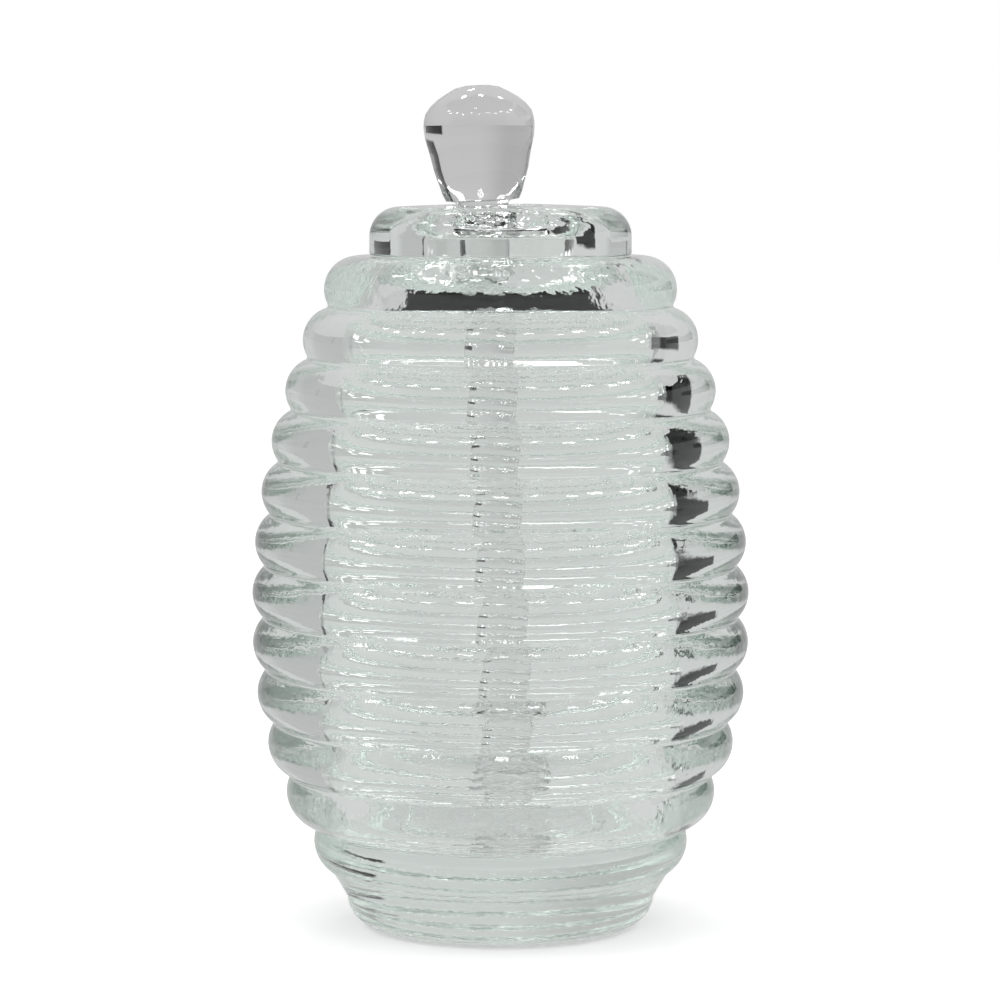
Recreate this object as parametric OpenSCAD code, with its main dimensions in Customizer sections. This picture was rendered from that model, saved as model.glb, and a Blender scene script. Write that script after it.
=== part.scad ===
// Beehive honey pot in clear pressed glass: ringed pot, loose lid and dipper.
// Origin at the middle of the foot, Z up, sizes in millimetres.
// The dipper stands on the pot's floor and leans to -X on the edge of the lid's hole.

/* [Pot outside] */
// Number of rings up the pot
ring_count = 12; // [10:1:13]
// Height from one ring to the next
ring_pitch = 9.1; // [8.4:0.1:9.8]
// Radius of a ring's round face
ring_face_r = 6; // [5.4:0.1:6.6]
// Height of the lowest ring's middle
first_ring_z = 15.1; // [13:0.1:17]
// Radius of the pot at its widest ring
belly_r = 45; // [42:0.5:50]
// Height at which the pot is widest
belly_z = 57.8; // [52:0.1:64]
// How much narrower the top ring is than the belly
top_drop = 13.2; // [11:0.1:14]
// How much narrower the lowest ring is than the belly
low_drop = 11; // [8:0.1:12]
// Radius of the foot
foot_r = 27.9; // [26:0.1:30]
// Radius of the round edge under the foot
foot_edge_r = 5; // [3:0.1:6]
// Radius of the shallow hollow under the foot
foot_hollow_r = 19; // [12:0.5:20]
// Depth of the shallow hollow under the foot
foot_hollow_depth = 0.8; // [0.4:0.1:2]

/* [Pot inside] */
// Radius of the round mouth
mouth_r = 18.4; // [17.5:0.1:20]
// Radius of the inside at its widest
hollow_r = 33; // [31:0.5:36]
// Height at which the inside is widest
hollow_z = 50; // [45:1:60]
// Radius of the long curve from the widest height up to the shoulder
upper_curve_r = 350; // [300:1:420]
// Radius of the long curve from the widest height down to the floor
lower_curve_r = 154; // [130:1:240]
// Height at which the inside starts to turn in to the mouth
shoulder_z = 104; // [98:0.5:108]
// Thickness of the glass over the shoulder, round the mouth
lip_t = 3.6; // [2.5:0.1:6]
// Thickness of the solid glass floor
floor_t = 15; // [11:0.5:18]
// Radius of the round corner between the floor and the wall
floor_corner_r = 12; // [6:0.5:13]

/* [Lid] */
// Radius of the lid's round plate
lid_r = 23.6; // [23:0.1:25]
// Height of the upright edge of the plate
lid_side_h = 3.4; // [2.5:0.1:5]
// Radius of the round edge on top of the plate
lid_edge_r = 5.3; // [3:0.1:6]
// How far the top rises to the middle
lid_crown = 0.5; // [0.3:0.1:1.2]
// How far the plug reaches down into the mouth
plug_depth = 6.5; // [5:0.1:7]
// Radius of the hollow inside the plug
plug_hollow_r = 13.3; // [12:0.1:14]
// Thickness of the plate over the hollow
lid_plate_t = 5.2; // [4:0.1:6]
// Radius of the hole for the dipper
lid_hole_r = 8; // [7.9:0.1:9]

/* [Dipper] */
// Radius of the stem
stem_r = 4.5; // [4:0.1:4.8]
// Radius of the grooved head
head_r = 7.4; // [6.5:0.1:7.4]
// Number of ribs on the head
rib_count = 5; // [3:1:7]
// Thickness of a rib
rib_t = 2; // [1.6:0.1:2.4]
// Width of the groove between two ribs
groove_w = 1.5; // [1:0.1:2]
// Radius of the head at the bottom of its grooves
groove_r = 5.2; // [4.9:0.1:5.6]
// Largest radius of the knob
knob_r = 10; // [9:0.1:12]
// Height of the knob above its underside
knob_h = 20.6; // [19:0.1:26]
// Radius of the knob's underside
knob_base_r = 6.6; // [6:0.1:7.5]
// How far the dipper's foot stands to the right of the pot's middle
foot_shift = 2.4; // [0:0.1:3]

/* [Clearances] */
// Gap round the plug in the mouth
plug_gap = 0.4; // [0.3:0.05:0.8]
// Gap between the lid and the rim that it rests on
seat_gap = 0.1; // [0.05:0.05:0.3]
// Gap between the stem and the edge of the hole that it leans on
lean_gap = 0.3; // [0.2:0.05:0.5]
// Gap between the dipper's foot and the floor
stand_gap = 0.3; // [0.2:0.05:0.5]
// Gap between the knob's underside and the lid
knob_gap = 0.4; // [0.3:0.05:1]

/* [Hidden] */
$fn = 144;
cut = 1;

ring_top = ring_count - 1;
function ring_z(i) = first_ring_z + i * ring_pitch;
// A ring's radius falls off smoothly above and below the belly.
function ring_r(i) =
    ring_z(i) > belly_z
    ? belly_r - top_drop * pow((ring_z(i) - belly_z) / (ring_z(ring_top) - belly_z), 2)
    : belly_r - low_drop * pow((belly_z - ring_z(i)) / (belly_z - first_ring_z), 2.5);
function ring_mid_r(i) = ring_r(i) - ring_face_r;

rim_z = ring_z(ring_top) + ring_face_r;
floor_z = floor_t;

// Points on a round or oval arc, in steps from one angle to another.
function arc(middle, reach, from, to, steps) =
    [for (i = [0 : steps]) let (a = from + (to - from) * i / steps)
        middle + [reach[0] * cos(a), reach[1] * sin(a)]];
// Radius of the inside on one of its long curves, at a height.
function curve_r(curve, z) = hollow_r - curve + sqrt(pow(curve, 2) - pow(z - hollow_z, 2));
// Points on a long curve, between its two ends.
function long_curve(curve, low, high, steps = 8) =
    [for (i = [1 : steps - 1]) let (z = low + (high - low) * i / steps) [curve_r(curve, z), z]];
shoulder_reach = [curve_r(upper_curve_r, shoulder_z) - mouth_r, rim_z - lip_t - shoulder_z];
corner_reach = [floor_corner_r, floor_corner_r];
corner_z = floor_z + floor_corner_r;
corner_r = curve_r(lower_curve_r, corner_z);

lid_z = rim_z + seat_gap;
lid_edge_z = lid_z + lid_side_h;
lid_top = lid_edge_z + lid_edge_r;
crown_top = lid_top + lid_crown;
crown_r = (pow(lid_r - lid_edge_r, 2) + pow(lid_crown, 2)) / (2 * lid_crown);
plug_r = mouth_r - plug_gap;
plug_z = lid_z - plug_depth;
ceiling_z = crown_top - lid_plate_t;

head_h = rib_count * rib_t + (rib_count - 1) * groove_w;
hole_shift = lid_hole_r - stem_r - lean_gap;
lean = atan((foot_shift + hole_shift) / (crown_top - floor_z));
foot_z = floor_z + stand_gap + groove_r * sin(lean);
stem_top = (crown_top + knob_gap - foot_z + knob_base_r * sin(lean)) / cos(lean);
knob_ball_z = stem_top + knob_h - knob_r;
// The knob's cone meets its ball where it is tangent to it.
knob_reach = norm([knob_base_r, knob_ball_z - stem_top]);
tangent = atan2(knob_ball_z - stem_top, knob_base_r) - acos(min(1, knob_r / knob_reach));

// Half of a round body, cut off at the axis.
module right_half(height) {
    intersection() {
        children();
        translate([0, -height]) square([2 * height, 3 * height]);
    }
}

module foot_outline() {
    square([foot_r - foot_edge_r, first_ring_z]);
    translate([0, foot_edge_r]) square([foot_r, first_ring_z - foot_edge_r]);
    translate([foot_r - foot_edge_r, foot_edge_r]) circle(r = foot_edge_r);
}

module ring_outline() {
    for (i = [0 : ring_top])
        translate([ring_mid_r(i), ring_z(i)]) circle(r = ring_face_r);
    polygon(concat(
        [[0, rim_z], [0, first_ring_z]],
        [for (i = [0 : ring_top]) [ring_mid_r(i), ring_z(i)]],
        [[ring_mid_r(ring_top), rim_z]]));
}

// The inside, from the middle of the floor up to the mouth.
module hollow_outline() {
    polygon(concat(
        [[0, floor_z]],
        arc([corner_r - floor_corner_r, corner_z], corner_reach, -90, 0, 12),
        long_curve(lower_curve_r, corner_z, hollow_z),
        long_curve(upper_curve_r, hollow_z, shoulder_z),
        arc([mouth_r, shoulder_z], shoulder_reach, 0, 90, 12),
        [[mouth_r, rim_z + cut], [0, rim_z + cut]]));
}

module pot_body() {
    color("honeydew", 0.5)
    rotate_extrude() difference() {
        union() {
            foot_outline();
            right_half(rim_z) ring_outline();
        }
        hollow_outline();
        translate([0, -cut]) square([foot_hollow_r, foot_hollow_depth + cut]);
    }
}

module lid_outline() {
    intersection() {
        union() {
            translate([0, lid_z]) square([lid_r, lid_side_h]);
            translate([0, lid_z]) square([lid_r - lid_edge_r, crown_top - lid_z]);
            translate([lid_r - lid_edge_r, lid_edge_z]) circle(r = lid_edge_r);
        }
        translate([0, lid_z]) square([lid_r, crown_top]);
        right_half(2 * crown_r)
            translate([0, crown_top - crown_r]) circle(r = crown_r, $fn = 720);
    }
    translate([0, plug_z]) square([plug_r, plug_depth + cut]);
}

module lid() {
    color("honeydew", 0.5)
    rotate_extrude() difference() {
        lid_outline();
        translate([0, plug_z - cut]) square([plug_hollow_r, ceiling_z - plug_z + cut]);
        translate([0, plug_z - cut]) square([lid_hole_r, crown_top - plug_z + 2 * cut]);
    }
}

module head_outline() {
    square([groove_r, head_h]);
    for (i = [0 : rib_count - 1])
        translate([0, i * (rib_t + groove_w)]) {
            square([head_r - rib_t / 2, rib_t]);
            translate([head_r - rib_t / 2, rib_t / 2]) circle(r = rib_t / 2, $fn = 48);
        }
}

module knob_outline() {
    right_half(stem_top + knob_h) translate([0, knob_ball_z]) circle(r = knob_r);
    polygon([
        [0, stem_top], [knob_base_r, stem_top],
        [knob_r * cos(tangent), knob_ball_z - knob_r * sin(tangent)],
        [0, knob_ball_z]]);
}

// The dipper, standing on the lowest rib, before it leans over.
module upright_dipper() {
    rotate_extrude() {
        head_outline();
        square([stem_r, stem_top + cut]);
        knob_outline();
    }
}

module dipper() {
    color("whitesmoke", 0.6)
    translate([foot_shift, 0, foot_z]) rotate([0, -lean, 0]) upright_dipper();
}

pot_body();
lid();
dipper();
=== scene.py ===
# Beehive honey pot in pressed glass: a ringed pot, a loose lid and a leaning dipper.
import math
import bpy
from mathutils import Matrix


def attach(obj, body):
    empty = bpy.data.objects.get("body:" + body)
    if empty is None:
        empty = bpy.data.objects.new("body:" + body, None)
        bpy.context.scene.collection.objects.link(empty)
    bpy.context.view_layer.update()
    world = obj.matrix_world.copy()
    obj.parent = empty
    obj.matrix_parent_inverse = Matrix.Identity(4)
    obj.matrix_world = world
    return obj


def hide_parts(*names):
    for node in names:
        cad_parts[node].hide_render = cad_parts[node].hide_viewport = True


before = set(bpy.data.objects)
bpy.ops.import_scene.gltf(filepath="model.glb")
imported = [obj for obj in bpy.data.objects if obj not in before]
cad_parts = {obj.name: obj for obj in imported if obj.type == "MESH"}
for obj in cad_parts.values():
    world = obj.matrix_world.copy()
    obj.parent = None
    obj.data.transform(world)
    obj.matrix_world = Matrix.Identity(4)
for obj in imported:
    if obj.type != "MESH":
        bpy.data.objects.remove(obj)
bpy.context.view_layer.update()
mm = 0.001
turnSteps = 256
# edges sharper than this many degrees stay sharp
smoothBelow = 35


def linear(hexColour):
    channels = [int(hexColour[k:k + 2], 16) / 255 for k in (0, 2, 4)]
    return [c / 12.92 if c <= 0.04045 else ((c + 0.055) / 1.055) ** 2.4 for c in channels] + [1]


def addNode(tree, kind, settings=None, links=None):
    node = tree.nodes.new(kind)
    for name, value in (settings or {}).items():
        if isinstance(name, int) or name in node.inputs:
            node.inputs[name].default_value = value
        else:
            setattr(node, name, value)
    for socket, source in (links or {}).items():
        tree.links.new(source, node.inputs[socket])
    return node


# A round arc, or an oval one where it also gets a height.
def arcPoints(middle, radius, fromAngle, toAngle, steps, height=None):
    points = []
    for k in range(steps + 1):
        angle = math.radians(fromAngle + (toAngle - fromAngle) * k / steps)
        points.append((middle[0] + radius * math.cos(angle),
                       middle[1] + (height or radius) * math.sin(angle)))
    return points


# A round piece as on a wheel: one point is pulled out along half the outline, then spun round.
def turnPiece(name, outline):
    bpy.ops.object.select_all(action="DESELECT")
    bpy.ops.mesh.primitive_plane_add(size=mm)
    piece = bpy.context.object
    piece.name = piece.data.name = name
    bpy.ops.object.mode_set(mode="EDIT")
    bpy.ops.mesh.select_all(action="SELECT")
    bpy.ops.mesh.merge(type="CENTER")
    bpy.ops.transform.translate(value=(outline[0][0] * mm, 0, outline[0][1] * mm))
    for (lastR, lastZ), (nextR, nextZ) in zip(outline, outline[1:]):
        step = ((nextR - lastR) * mm, 0, (nextZ - lastZ) * mm)
        bpy.ops.mesh.extrude_region_move(TRANSFORM_OT_translate={"value": step})
    bpy.ops.mesh.select_all(action="SELECT")
    bpy.ops.mesh.spin(steps=turnSteps, angle=2 * math.pi, center=(0, 0, 0), axis=(0, 0, 1))
    bpy.ops.mesh.select_all(action="SELECT")
    bpy.ops.mesh.remove_doubles(threshold=0.0005 * mm)
    bpy.ops.mesh.normals_make_consistent(inside=False)
    bpy.ops.object.mode_set(mode="OBJECT")
    bpy.ops.object.shade_smooth_by_angle(angle=math.radians(smoothBelow))
    return piece


# Pot: twelve round rings with narrow grooves, thick floor, narrow mouth.
pot = {
    "ringCount": 12, "ringPitch": 9.1, "ringFace": 6.0, "firstRing": 15.1,
    "bellyRadius": 44.98, "bellyHeight": 57.8, "topDrop": 13.2, "lowDrop": 11.0,
    "lowPower": 2.5,
    "grooveFillet": 0.6, "firstAngle": -62,
    "footRadius": 27.9, "footEdge": 5.0, "footHollow": 19.0, "footHollowDepth": 0.8,
    "hollowSlope": 0.9,
    "knurlRadius": 21.4, "knurlDepth": 0.25,
    "mouthRadius": 18.4, "rimEdge": 0.9,
    "insideRadius": 33.0, "insideHeight": 50.0, "upperCurve": 350.0, "lowerCurve": 154.0,
    "shoulderHeight": 104.0, "lip": 3.6, "floor": 15.0, "floorCorner": 12.0,
}


def ringHeight(i):
    return pot["firstRing"] + i * pot["ringPitch"]


def ringMiddle(i):
    z = ringHeight(i)
    topRing = ringHeight(pot["ringCount"] - 1)
    belly = pot["bellyHeight"]
    if z > belly:
        drop = pot["topDrop"] * ((z - belly) / (topRing - belly)) ** 2
    else:
        drop = pot["lowDrop"] * ((belly - z) / (belly - pot["firstRing"])) ** pot["lowPower"]
    return pot["bellyRadius"] - drop - pot["ringFace"]


rimHeight = ringHeight(pot["ringCount"] - 1) + pot["ringFace"]


# The rings' outline, each groove rounded by a small hollow arc that touches both rings.
def ringsOutline():
    points = []
    count, face, fillet = pot["ringCount"], pot["ringFace"], pot["grooveFillet"]
    middles = [(ringMiddle(i), ringHeight(i)) for i in range(count)]
    low = pot["firstAngle"]
    for i in range(count):
        r, z = middles[i]
        if i == count - 1:
            points += arcPoints((r, z), face, low, 90, 16)
            break
        nextR, nextZ = middles[i + 1]
        towards = math.atan2(nextZ - z, nextR - r)
        half = math.hypot(nextR - r, nextZ - z) / 2
        high = math.degrees(towards - math.acos(half / (face + fillet)))
        points += arcPoints((r, z), face, low, high, 16)
        hollow = (r + (face + fillet) * math.cos(math.radians(high)),
                  z + (face + fillet) * math.sin(math.radians(high)))
        toNext = math.degrees(math.atan2(nextZ - hollow[1], nextR - hollow[0])) % 360
        points += arcPoints(hollow, fillet, high + 180, toNext, 6)[1:-1]
        low = toNext - 180
    return points


def insideRadius(z):
    curve = pot["upperCurve"] if z > pot["insideHeight"] else pot["lowerCurve"]
    return pot["insideRadius"] - curve + math.sqrt(curve ** 2 - (z - pot["insideHeight"]) ** 2)


def insideOutline():
    mouth, edge = pot["mouthRadius"], pot["rimEdge"]
    shoulder = pot["shoulderHeight"]
    shoulderRadius = insideRadius(shoulder) - mouth
    cornerHeight = pot["floor"] + pot["floorCorner"]
    cornerMiddle = insideRadius(cornerHeight) - pot["floorCorner"]
    points = arcPoints((mouth + edge, rimHeight - edge), edge, 90, 180, 6)
    points += arcPoints((mouth, shoulder), shoulderRadius, 90, 0, 24,
                        height=rimHeight - pot["lip"] - shoulder)
    steps = 36
    for k in range(1, steps):
        z = shoulder + (cornerHeight - shoulder) * k / steps
        points.append((insideRadius(z), z))
    points += arcPoints((cornerMiddle, cornerHeight), pot["floorCorner"], 0, -90, 14)
    return points + [(cornerMiddle / 2, pot["floor"]), (0, pot["floor"])]


def footOutline():
    r, edge = pot["footRadius"], pot["footEdge"]
    hollow, depth = pot["footHollow"], pot["footHollowDepth"]
    points = [(0, depth), (hollow / 2, depth), (hollow, depth)]
    points += [(hollow + pot["hollowSlope"], 0), (pot["knurlRadius"], 0)]
    return points + arcPoints((r - edge, edge), edge, -90, 0, 12)


potPiece = turnPiece("pot_glass", footOutline() + ringsOutline() + insideOutline())
# The flat ring that it stands on is knurled: every second point of its middle line goes up.
bpy.ops.object.mode_set(mode="EDIT")
bpy.ops.mesh.select_mode(type="VERT")
bpy.ops.mesh.select_all(action="DESELECT")
bpy.ops.object.mode_set(mode="OBJECT")
near = 0.05 * mm
for vertex in potPiece.data.vertices:
    x, y, z = vertex.co
    if z < near and abs(math.hypot(x, y) - pot["knurlRadius"] * mm) < near:
        vertex.select = round(math.atan2(y, x) / (2 * math.pi) * turnSteps) % 2 == 1
bpy.ops.object.mode_set(mode="EDIT")
bpy.ops.transform.translate(value=(0, 0, pot["knurlDepth"] * mm))
bpy.ops.object.mode_set(mode="OBJECT")
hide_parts("pot_body")
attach(potPiece, "pot")
print("pot turned:", len(potPiece.data.polygons), "faces")

# Lid: round plate with a hollow plug below and a hole for the dipper.
lid = {
    "radius": 23.6, "sideHeight": 3.4, "edge": 5.3, "crown": 0.5, "lowEdge": 0.5,
    "plugRadius": 18.0, "plugDepth": 6.5, "plugEdge": 0.8, "hollowRadius": 13.3, "hollowEdge": 1.0,
    "innerEdge": 0.5, "plate": 5.2, "holeRadius": 8.0, "holeEdge": 0.6, "seatGap": 0.1,
}
lidBottom = rimHeight + lid["seatGap"]
lidTop = lidBottom + lid["sideHeight"] + lid["edge"] + lid["crown"]


def lidOutline():
    flat = lid["radius"] - lid["edge"]
    ceiling = lidTop - lid["plate"]
    plugLow = lidBottom - lid["plugDepth"]
    edge, hole, inner = lid["holeEdge"], lid["holeRadius"], lid["innerEdge"]
    points = [(lid["hollowRadius"] + inner, plugLow)]
    points += arcPoints((lid["plugRadius"] - lid["plugEdge"], plugLow + lid["plugEdge"]),
                        lid["plugEdge"], -90, 0, 6)
    points += [(lid["plugRadius"], lidBottom)]
    points += arcPoints((lid["radius"] - lid["lowEdge"], lidBottom + lid["lowEdge"]),
                        lid["lowEdge"], -90, 0, 5)
    points += arcPoints((flat, lidBottom + lid["sideHeight"]), lid["edge"], 0, 90, 18)
    crownSteps = 7
    for k in range(1, crownSteps + 1):
        r = flat - (flat - hole - edge) * k / crownSteps
        points.append((r, lidTop - lid["crown"] * (r / flat) ** 2))
    points += arcPoints((hole + edge, points[-1][1] - edge), edge, 90, 180, 5)[1:]
    points += [(hole, ceiling)]
    points += arcPoints((lid["hollowRadius"] - lid["hollowEdge"], ceiling - lid["hollowEdge"]),
                        lid["hollowEdge"], 90, 0, 6)
    points += arcPoints((lid["hollowRadius"] + inner, plugLow + inner), inner, 180, 270, 4)
    return points


lidPiece = turnPiece("lid_glass", lidOutline())
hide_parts("lid")
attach(lidPiece, "lid")
print("lid turned:", len(lidPiece.data.polygons), "faces")

# Dipper: grooved head, round stem and a knob shaped like an upturned drop.
dipper = {
    "stem": 4.5, "headRadius": 7.4, "ribs": 5, "rib": 2.0, "groove": 1.5, "grooveRadius": 5.2,
    "footShift": 2.4, "standGap": 0.3, "leanGap": 0.3, "knobGap": 0.4, "knobBase": 6.6,
    # radius of the soft step down from the head to the stem, at heights above the head
    "headStep": [(0.0, 5.3), (0.3, 4.7)], "stepHeight": 1.0,
    # radius of the flare under the knob, at depths below the underside
    "flareDepth": 2.5, "flare": [(1.2, 4.5), (0.6, 4.65), (0.25, 5.0)],
    # radius of the knob, at heights above the underside
    "knob": [(0.0, 6.6), (1.3, 7.2), (2.7, 7.6), (4.2, 8.1), (5.6, 8.5), (7.1, 8.8),
             (8.5, 9.1), (9.9, 9.45), (11.4, 9.8), (12.5, 9.93), (13.5, 9.97), (14.6, 9.85),
             (15.7, 9.55), (17.1, 8.5), (18.2, 7.2), (19.2, 5.6), (20.1, 3.9), (20.48, 2.0),
             (20.53, 0)],
}
holeShift = lid["holeRadius"] - dipper["stem"] - dipper["leanGap"]
lean = math.atan((dipper["footShift"] + holeShift) / (lidTop - pot["floor"]))
dipperFoot = pot["floor"] + dipper["standGap"] + dipper["grooveRadius"] * math.sin(lean)
stemTop = lidTop + dipper["knobGap"] - dipperFoot + dipper["knobBase"] * math.sin(lean)
stemTop /= math.cos(lean)


def dipperOutline():
    stem, head = dipper["stem"], dipper["headRadius"]
    points = [(0, 0), (dipper["grooveRadius"], 0)]
    pitch = dipper["rib"] + dipper["groove"]
    half = dipper["rib"] / 2
    for i in range(dipper["ribs"]):
        low = i * pitch
        if i:
            points.append((dipper["grooveRadius"], low))
        points += arcPoints((head - half, low + half), half, -90, 90, 8)
        if i < dipper["ribs"] - 1:
            points.append((dipper["grooveRadius"], low + dipper["rib"]))
    headTop = (dipper["ribs"] - 1) * pitch + dipper["rib"]
    points += [(r, headTop + h) for h, r in dipper["headStep"]]
    stemLow = headTop + dipper["stepHeight"]
    stemSteps = 11
    points.append((stem, stemLow))
    for k in range(1, stemSteps + 1):
        points.append((stem, stemLow + (stemTop - dipper["flareDepth"] - stemLow) * k / stemSteps))
    points += [(r, stemTop - depth) for depth, r in dipper["flare"]]
    return points + [(r, stemTop + h) for h, r in dipper["knob"]]


dipperPiece = turnPiece("dipper_glass", dipperOutline())
bpy.ops.object.mode_set(mode="EDIT")
bpy.ops.mesh.select_all(action="SELECT")
bpy.ops.transform.rotate(value=lean, orient_axis="Y", center_override=(0, 0, 0))
bpy.ops.transform.translate(value=(dipper["footShift"] * mm, 0, dipperFoot * mm))
bpy.ops.object.mode_set(mode="OBJECT")
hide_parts("dipper")
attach(dipperPiece, "dipper")
print("dipper turned:", len(dipperPiece.data.polygons), "faces")

# Soda-lime glass pressed in an iron mould: it tints green with depth, and its skin keeps the
# mould's waves and the fine wrinkles of quick chilling, deeper towards the foot.
pressedGlass = {
    "ior": 1.5, "roughness": 0.0, "colour": "FDFFFE",
    "depthColour": "D9F7E9", "depthDensity": 3.5,
    "waveSize": 9.0, "waveHeight": 0.05, "wrinkleSize": 2.2, "wrinkleHeight": 0.015,
    "ledgeFactor": 7.0, "calmAbove": 80.0, "wildBelow": 25.0, "lowFactor": 3.0,
}
# Clear glass worked in a flame: a trace of grey, and a soft waviness along the stem.
workedGlass = {
    "ior": 1.5, "roughness": 0.0, "colour": "FFFFFF",
    "depthColour": "8C8C8C", "depthDensity": 12.0,
    "waveSize": 7.0, "waveHeight": 0.012, "wrinkleSize": 3.0, "wrinkleHeight": 0.004,
    "ledgeFactor": 1.0, "calmAbove": 80.0, "wildBelow": 25.0, "lowFactor": 1.0,
}
# A ring's upper side starts and is full at these upward parts of its normal.
ledgeStart, ledgeFull = 0.25, 0.65


def glassMaterial(name, glass):
    material = bpy.data.materials.new(name)
    material.use_nodes = True
    tree = material.node_tree
    tree.nodes.clear()
    place = addNode(tree, "ShaderNodeTexCoord")
    at = addNode(tree, "ShaderNodeSeparateXYZ", None, {0: place.outputs["Object"]})
    waves = addNode(tree, "ShaderNodeTexNoise",
                    {"Scale": 1 / (glass["waveSize"] * mm), "Detail": 1.0},
                    {"Vector": place.outputs["Object"]})
    wrinkles = addNode(tree, "ShaderNodeTexNoise",
                       {"Scale": 1 / (glass["wrinkleSize"] * mm), "Detail": 2.0},
                       {"Vector": place.outputs["Object"]})
    lower = addNode(tree, "ShaderNodeMapRange",
                    {"From Min": glass["calmAbove"] * mm, "From Max": glass["wildBelow"] * mm,
                     "To Min": glass["wrinkleHeight"] * mm,
                     "To Max": glass["wrinkleHeight"] * glass["lowFactor"] * mm},
                    {"Value": at.outputs["Z"]})
    # The upper side of each ring is the most wrinkled.
    facing = addNode(tree, "ShaderNodeSeparateXYZ", None, {0: place.outputs["Normal"]})
    ledge = addNode(tree, "ShaderNodeMapRange",
                    {"interpolation_type": "SMOOTHSTEP", "From Min": ledgeStart,
                     "From Max": ledgeFull, "To Min": 1.0, "To Max": glass["ledgeFactor"]},
                    {"Value": facing.outputs["Z"]})
    upper = addNode(tree, "ShaderNodeMath",
                    {"operation": "MULTIPLY", 1: glass["wrinkleHeight"] * mm},
                    {0: ledge.outputs[0]})
    rough = addNode(tree, "ShaderNodeMath", {"operation": "MAXIMUM"},
                    {0: lower.outputs[0], 1: upper.outputs[0]})
    fine = addNode(tree, "ShaderNodeMath", {"operation": "MULTIPLY"},
                   {0: wrinkles.outputs[0], 1: rough.outputs[0]})
    relief = addNode(tree, "ShaderNodeMath",
                     {"operation": "MULTIPLY_ADD", 1: glass["waveHeight"] * mm},
                     {0: waves.outputs[0], 2: fine.outputs[0]})
    skin = addNode(tree, "ShaderNodeBump", {"Strength": 1.0, "Distance": 1.0},
                   {"Height": relief.outputs[0]})
    body = addNode(tree, "ShaderNodeBsdfPrincipled",
                   {"Base Color": linear(glass["colour"]), "Roughness": glass["roughness"],
                    "IOR": glass["ior"], "Transmission Weight": 1.0}, {"Normal": skin.outputs[0]})
    depth = addNode(tree, "ShaderNodeVolumeAbsorption",
                    {"Color": linear(glass["depthColour"]), "Density": glass["depthDensity"]})
    addNode(tree, "ShaderNodeOutputMaterial", None,
            {"Surface": body.outputs[0], "Volume": depth.outputs[0]})
    return material


pressedMaterial = glassMaterial("pressed soda-lime glass", pressedGlass)
workedMaterial = glassMaterial("flame-worked clear glass", workedGlass)
for piece, material in ((potPiece, pressedMaterial), (lidPiece, pressedMaterial),
                        (dipperPiece, workedMaterial)):
    piece.data.materials.clear()
    piece.data.materials.append(material)
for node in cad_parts.values():
    node.data.materials.clear()
    node.data.materials.append(workedMaterial if node.name == "dipper" else pressedMaterial)
print("glass mixed")

# Studio: white behind the pot for the eye, pale grey card all round for the glass, dark openings
# between the cards. Angles in degrees, azimuth from +Y towards +X.
studio = {
    "card": "CFCFCF", "white": "FFFFFF", "floor": "D3D3D3",
    "patches": [
        {"azimuth": -43, "elevation": 5, "halfWidth": 31, "halfHeight": 35,
         "soft": 14, "colour": "B9B9B9"},
        {"azimuth": 49, "elevation": -1.5, "halfWidth": 19, "halfHeight": 8.5,
         "soft": 1, "colour": "060606"},
        {"azimuth": 68, "elevation": 27, "halfWidth": 21, "halfHeight": 13,
         "soft": 1.5, "colour": "0C0C0C",
         "byKnob": True},
        {"azimuth": -66, "elevation": 3, "halfWidth": 1.2, "halfHeight": 9,
         "soft": 0.5, "colour": "0C0C0C"},
        {"azimuth": 180, "elevation": 0, "halfWidth": 60, "halfHeight": 40,
         "soft": 6, "colour": "8C8C8C"},
        {"azimuth": 0, "elevation": 90, "halfWidth": 180, "halfHeight": 44,
         "soft": 2, "colour": "121212"},
        {"azimuth": 0, "elevation": 45, "halfWidth": 42, "halfHeight": 19,
         "soft": 2, "colour": "CFCFCF"},
    ],
    # edge: how far a small light fades around its size; fade: degrees at the ends of the band
    "sparks": {"scale": 9.0, "size": 0.3, "edge": 0.2, "low": 6, "high": 50, "fade": 1,
               "light": 2.0},
    # light that has crossed more surfaces of glass than this came through the pot
    "knobSurfaces": 2.5,
    "plainLight": 0.7, "floorGlow": 0.31, "floorShade": 0.15, "floorShine": 0.8,
    # azimuth, elevation
    "lamps": [(-90, 45), (-106, 40), (-122, 46), (-140, 41), (-160, 47), (180, 42), (160, 47),
              (140, 41), (122, 46), (106, 40), (90, 45), (-30, 60), (2, 68), (32, 57), (-10, 48),
              (-162, 68)],
    "lampDistance": 1.6, "lampCentre": 0.08, "lampSize": 0.15, "lampWatts": 0.7,
    "floorSize": 40, "floorDrop": 0.0003,
}

world = bpy.data.worlds.new("studio")
bpy.context.scene.world = world
world.use_nodes = True
tree = world.node_tree
tree.nodes.clear()
direction = addNode(tree, "ShaderNodeTexCoord")
parts = addNode(tree, "ShaderNodeSeparateXYZ", None, {0: direction.outputs["Generated"]})
azimuth = addNode(tree, "ShaderNodeMath", {"operation": "ARCTAN2"},
                  {0: parts.outputs["X"], 1: parts.outputs["Y"]})
elevation = addNode(tree, "ShaderNodeMath", {"operation": "ARCSINE"}, {0: parts.outputs["Z"]})
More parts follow.
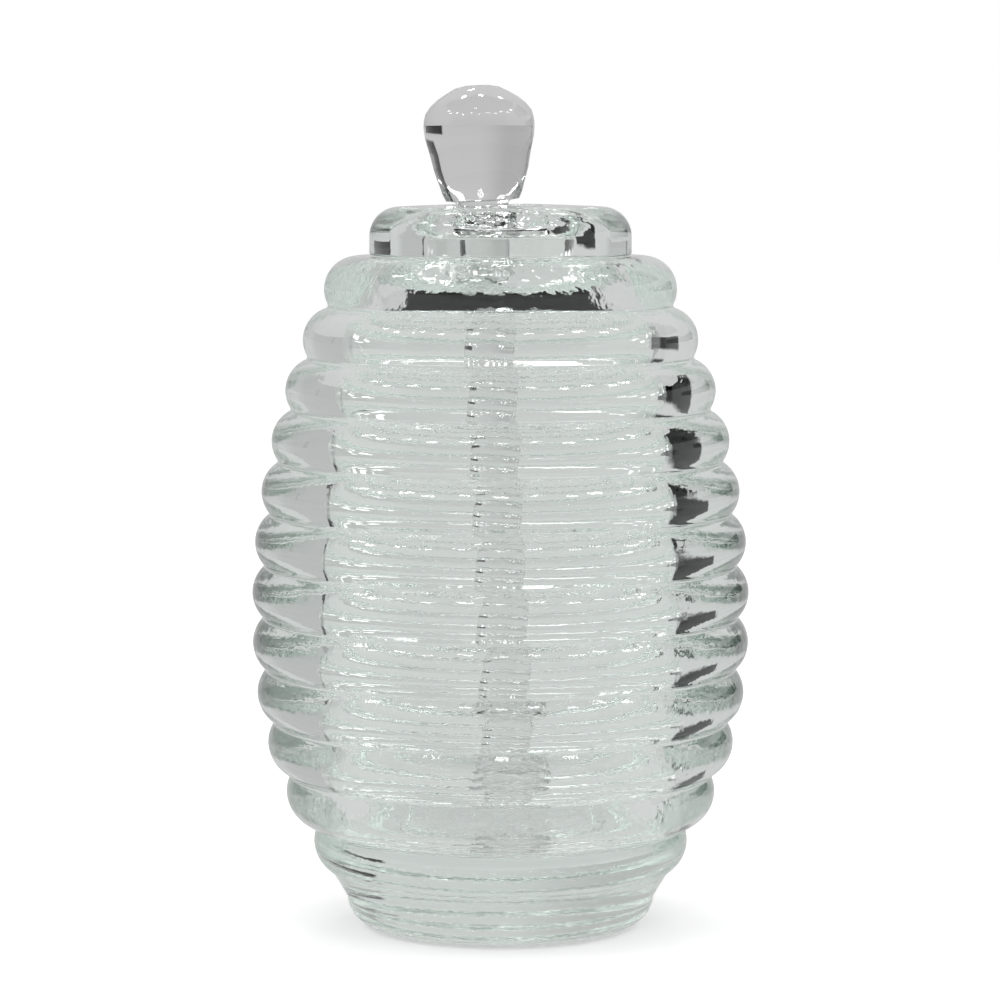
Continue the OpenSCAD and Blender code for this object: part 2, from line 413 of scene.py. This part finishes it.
# The hollow pot turns light at more surfaces than the solid knob, which sees one more dark opening.
rays = addNode(tree, "ShaderNodeLightPath")
throughPot = addNode(tree, "ShaderNodeMath",
                     {"operation": "GREATER_THAN", 1: studio["knobSurfaces"]},
                     {0: rays.outputs["Transmission Depth"]})
throughKnob = addNode(tree, "ShaderNodeMath", {"operation": "SUBTRACT", 0: 1.0},
                      {1: throughPot.outputs[0]})
shade = addNode(tree, "ShaderNodeRGB")
shade.outputs[0].default_value = linear(studio["card"])
around = shade.outputs[0]
for patch in studio["patches"]:
    sides = []
    for source, centre, half in ((azimuth, patch["azimuth"], patch["halfWidth"]),
                                 (elevation, patch["elevation"], patch["halfHeight"])):
        offset = addNode(tree, "ShaderNodeMath", {"operation": "SUBTRACT", 1: math.radians(centre)},
                         {0: source.outputs[0]})
        turned = addNode(tree, "ShaderNodeMath", {"operation": "WRAP", 1: math.pi, 2: -math.pi},
                         {0: offset.outputs[0]})
        away = addNode(tree, "ShaderNodeMath", {"operation": "ABSOLUTE"}, {0: turned.outputs[0]})
        sides.append(addNode(tree, "ShaderNodeMapRange",
                             {"interpolation_type": "SMOOTHSTEP",
                              "From Min": math.radians(half + patch["soft"]),
                              "From Max": math.radians(half - patch["soft"])},
                             {"Value": away.outputs[0]}))
    amount = addNode(tree, "ShaderNodeMath", {"operation": "MULTIPLY"},
                     {0: sides[0].outputs[0], 1: sides[1].outputs[0]})
    if "byKnob" in patch:
        amount = addNode(tree, "ShaderNodeMath", {"operation": "MULTIPLY"},
                         {0: amount.outputs[0], 1: throughKnob.outputs[0]})
    around = addNode(tree, "ShaderNodeMixRGB", {"Color2": linear(patch["colour"])},
                     {"Fac": amount.outputs[0], "Color1": around}).outputs[0]
# Small far lights, in a band above eye level: the wrinkled ring tops draw them out to white dashes.
sparks = studio["sparks"]
cells = addNode(tree, "ShaderNodeTexVoronoi", {"Scale": sparks["scale"]},
                {"Vector": direction.outputs["Generated"]})
spark = addNode(tree, "ShaderNodeMapRange",
                {"From Min": sparks["size"] * (1 + sparks["edge"]),
                 "From Max": sparks["size"] * (1 - sparks["edge"])},
                {"Value": cells.outputs["Distance"]})
for start, full in ((sparks["low"], sparks["low"] + sparks["fade"]),
                    (sparks["high"], sparks["high"] - sparks["fade"])):
    gate = addNode(tree, "ShaderNodeMapRange",
                   {"From Min": math.radians(start), "From Max": math.radians(full)},
                   {"Value": elevation.outputs[0]})
    spark = addNode(tree, "ShaderNodeMath", {"operation": "MULTIPLY"},
                    {0: spark.outputs[0], 1: gate.outputs[0]})
spark = addNode(tree, "ShaderNodeMath", {"operation": "MULTIPLY"},
                {0: spark.outputs[0], 1: throughPot.outputs[0]})
around = addNode(tree, "ShaderNodeMixRGB", {"Color2": [sparks["light"]] * 3 + [1]},
                 {"Fac": spark.outputs[0], "Color1": around}).outputs[0]
throughGlass = addNode(tree, "ShaderNodeMath", {"operation": "MAXIMUM"},
                       {0: rays.outputs["Is Glossy Ray"], 1: rays.outputs["Is Transmission Ray"]})
seen = addNode(tree, "ShaderNodeMixRGB", {"Color1": [studio["plainLight"]] * 3 + [1]},
               {"Fac": throughGlass.outputs[0], "Color2": around})
behind = addNode(tree, "ShaderNodeMixRGB", {"Color2": linear(studio["white"])},
                 {"Fac": rays.outputs["Is Camera Ray"], "Color1": seen.outputs[0]})
sky = addNode(tree, "ShaderNodeBackground", {"Strength": 1.0}, {"Color": behind.outputs[0]})
addNode(tree, "ShaderNodeOutputWorld", None, {"Surface": sky.outputs[0]})

for number, (lampAzimuth, lampElevation) in enumerate(studio["lamps"]):
    az, el = math.radians(lampAzimuth), math.radians(lampElevation)
    toLamp = (math.cos(el) * math.sin(az), math.cos(el) * math.cos(az), math.sin(el))
    place = [studio["lampDistance"] * c for c in toLamp]
    place[2] += studio["lampCentre"]
    bpy.ops.object.light_add(type="AREA", location=place,
                             rotation=(math.pi / 2 - el, 0, math.pi - az))
    light = bpy.context.object
    light.name = f"lamp {number + 1}"
    light.data.shape = "DISK"
    light.data.size = studio["lampSize"]
    light.data.energy = studio["lampWatts"]

# Floor: matt white paper that keeps the pot's soft shadow.
bpy.ops.mesh.primitive_plane_add(size=studio["floorSize"], location=(0, 0, -studio["floorDrop"]))
floor = bpy.context.object
floor.name = "paper floor"
paper = bpy.data.materials.new("matt white paper")
paper.use_nodes = True
tree = paper.node_tree
tree.nodes.clear()
grey = addNode(tree, "ShaderNodeBsdfDiffuse", {"Color": [studio["floorShade"]] * 3 + [1]})
shine = addNode(tree, "ShaderNodeEmission",
                {"Color": linear(studio["floor"]), "Strength": studio["floorShine"]})
under = addNode(tree, "ShaderNodeAddShader", None, {0: grey.outputs[0], 1: shine.outputs[0]})
white = addNode(tree, "ShaderNodeBsdfDiffuse", {"Color": linear(studio["white"])})
glow = addNode(tree, "ShaderNodeEmission",
               {"Color": linear(studio["white"]), "Strength": studio["floorGlow"]})
lifted = addNode(tree, "ShaderNodeAddShader", None, {0: white.outputs[0], 1: glow.outputs[0]})
rays = addNode(tree, "ShaderNodeLightPath")
look = addNode(tree, "ShaderNodeMixShader", None,
               {0: rays.outputs["Is Camera Ray"], 1: under.outputs[0], 2: lifted.outputs[0]})
addNode(tree, "ShaderNodeOutputMaterial", None, {"Surface": look.outputs[0]})
floor.data.materials.append(paper)
print("studio lit")

# Camera: a long lens, a little above the pot's middle.
view = {"distance": 0.7, "elevation": 5.35, "aim": 0.076, "pixelsPerMm": 5.523,
        "middle": (500.5, 505.7), "pictureSize": 1000, "sensor": 36}
el = math.radians(view["elevation"])
bpy.ops.object.camera_add(
    location=(0, -view["distance"] * math.cos(el), view["aim"] + view["distance"] * math.sin(el)),
    rotation=(math.pi / 2 - el, 0, 0))
camera = bpy.context.object
size = view["pictureSize"]
camera.data.sensor_width = view["sensor"]
camera.data.lens = view["pixelsPerMm"] * view["distance"] / mm * view["sensor"] / size
camera.data.shift_x = (size / 2 - view["middle"][0]) / size
camera.data.shift_y = (view["middle"][1] - size / 2) / size
bpy.context.scene.camera = camera
scene = bpy.context.scene
scene.view_settings.view_transform = "Standard"
# Thick glass needs long light paths.
scene.cycles.max_bounces = 32
scene.cycles.transmission_bounces = 32
scene.cycles.glossy_bounces = 16
